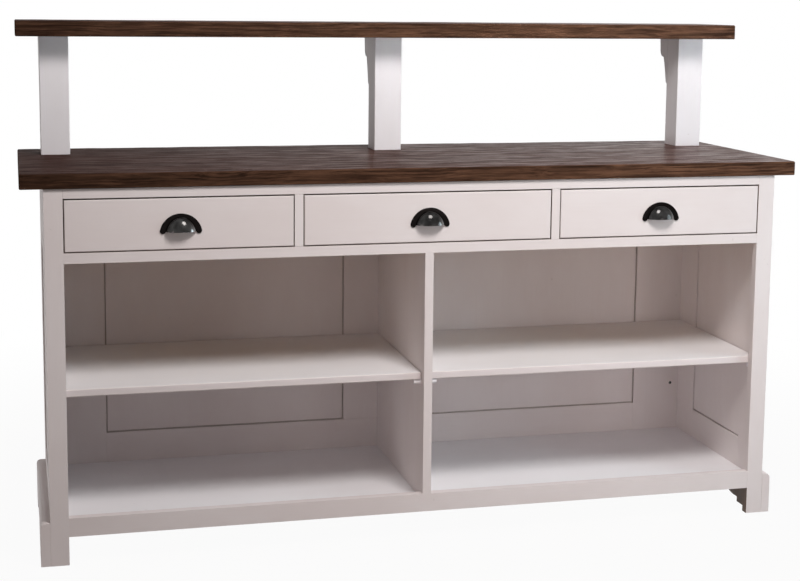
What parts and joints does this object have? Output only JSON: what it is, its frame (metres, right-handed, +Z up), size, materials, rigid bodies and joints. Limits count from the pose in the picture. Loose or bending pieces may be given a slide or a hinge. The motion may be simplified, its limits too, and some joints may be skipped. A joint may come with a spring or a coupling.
{
  "type": "bar counter",
  "caption": "Painted wooden bar counter with a dark plank worktop, a raised bar shelf on bracketed posts, cup-pull drawers and open shelved compartments.",
  "frame": {"origin": "middle of the bounding box on the floor", "axes": "+X along the counter to the right as seen by the person serving, +Y from the drawers towards the customer side, +Z up"},
  "size_m": [1.8, 0.6192, 1.182],
  "materials": {
    "white_paint": "white satin paint on pine",
    "dark_wood": "dark brown stain on brushed planks",
    "bare_pine": "bare planed pine",
    "gunmetal": "dark bronzed, semi-gloss",
    "steel": "zinc plated"
  },
  "bodies": {
    "carcass": {"back_panel_left": "white_paint", "back_panel_right": "white_paint", "back_rail_bottom": "white_paint", "back_rail_top": "white_paint", "back_stile_left": "white_paint", "back_stile_mid": "white_paint", "back_stile_right": "white_paint", "bar_shelf": "dark_wood", "bottom_rail": "white_paint", "centre_divider": "white_paint", "corbel_left": "white_paint", "corbel_mid": "white_paint", "corbel_right": "white_paint", "drawer_kickers": "bare_pine", "drawer_muntins": "white_paint", "drawer_runners": "bare_pine", "floor_panel": "white_paint", "front_stile_left": "white_paint", "front_stile_right": "white_paint", "middle_rail": "white_paint", "plinth_back": "white_paint", "plinth_left": "white_paint", "plinth_right": "white_paint", "post_left": "white_paint", "post_mid": "white_paint", "post_right": "white_paint", "shelf_pins": "white_paint", "side_left_bottom_rail": "white_paint", "side_left_front_stile": "white_paint", "side_left_panel": "white_paint", "side_left_rear_stile": "white_paint", "side_left_top_rail": "white_paint", "side_right_bottom_rail": "white_paint", "side_right_front_stile": "white_paint", "side_right_panel": "white_paint", "side_right_rear_stile": "white_paint", "side_right_top_rail": "white_paint", "top_rail": "white_paint", "worktop": "dark_wood"},
    "drawer_left": {"drawer_left_back": "bare_pine", "drawer_left_bottom": "bare_pine", "drawer_left_front": "white_paint", "drawer_left_pull": "gunmetal", "drawer_left_screws": "steel", "drawer_left_sides": "bare_pine"},
    "drawer_mid": {"drawer_mid_back": "bare_pine", "drawer_mid_bottom": "bare_pine", "drawer_mid_front": "white_paint", "drawer_mid_pull": "gunmetal", "drawer_mid_screws": "steel", "drawer_mid_sides": "bare_pine"},
    "drawer_right": {"drawer_right_back": "bare_pine", "drawer_right_bottom": "bare_pine", "drawer_right_front": "white_paint", "drawer_right_pull": "gunmetal", "drawer_right_screws": "steel", "drawer_right_sides": "bare_pine"},
    "shelf_left": {"shelf_left": "white_paint"},
    "shelf_right": {"shelf_right": "white_paint"}
  },
  "joints": [
    {"name": "drawer_left_slide", "type": "slide", "parent": "carcass", "child": "drawer_left", "axis": [0, -1, 0], "range_m": [0, 0.33]},
    {"name": "drawer_mid_slide", "type": "slide", "parent": "carcass", "child": "drawer_mid", "axis": [0, -1, 0], "range_m": [0, 0.33]},
    {"name": "drawer_right_slide", "type": "slide", "parent": "carcass", "child": "drawer_right", "axis": [0, -1, 0], "range_m": [0, 0.33]},
    {"name": "shelf_left_lift", "type": "slide", "parent": "carcass", "child": "shelf_left", "axis": [0, 0, 1], "range_m": [0, 0.25]},
    {"name": "shelf_right_lift", "type": "slide", "parent": "carcass", "child": "shelf_right", "axis": [0, 0, 1], "range_m": [0, 0.25]}
  ]
}
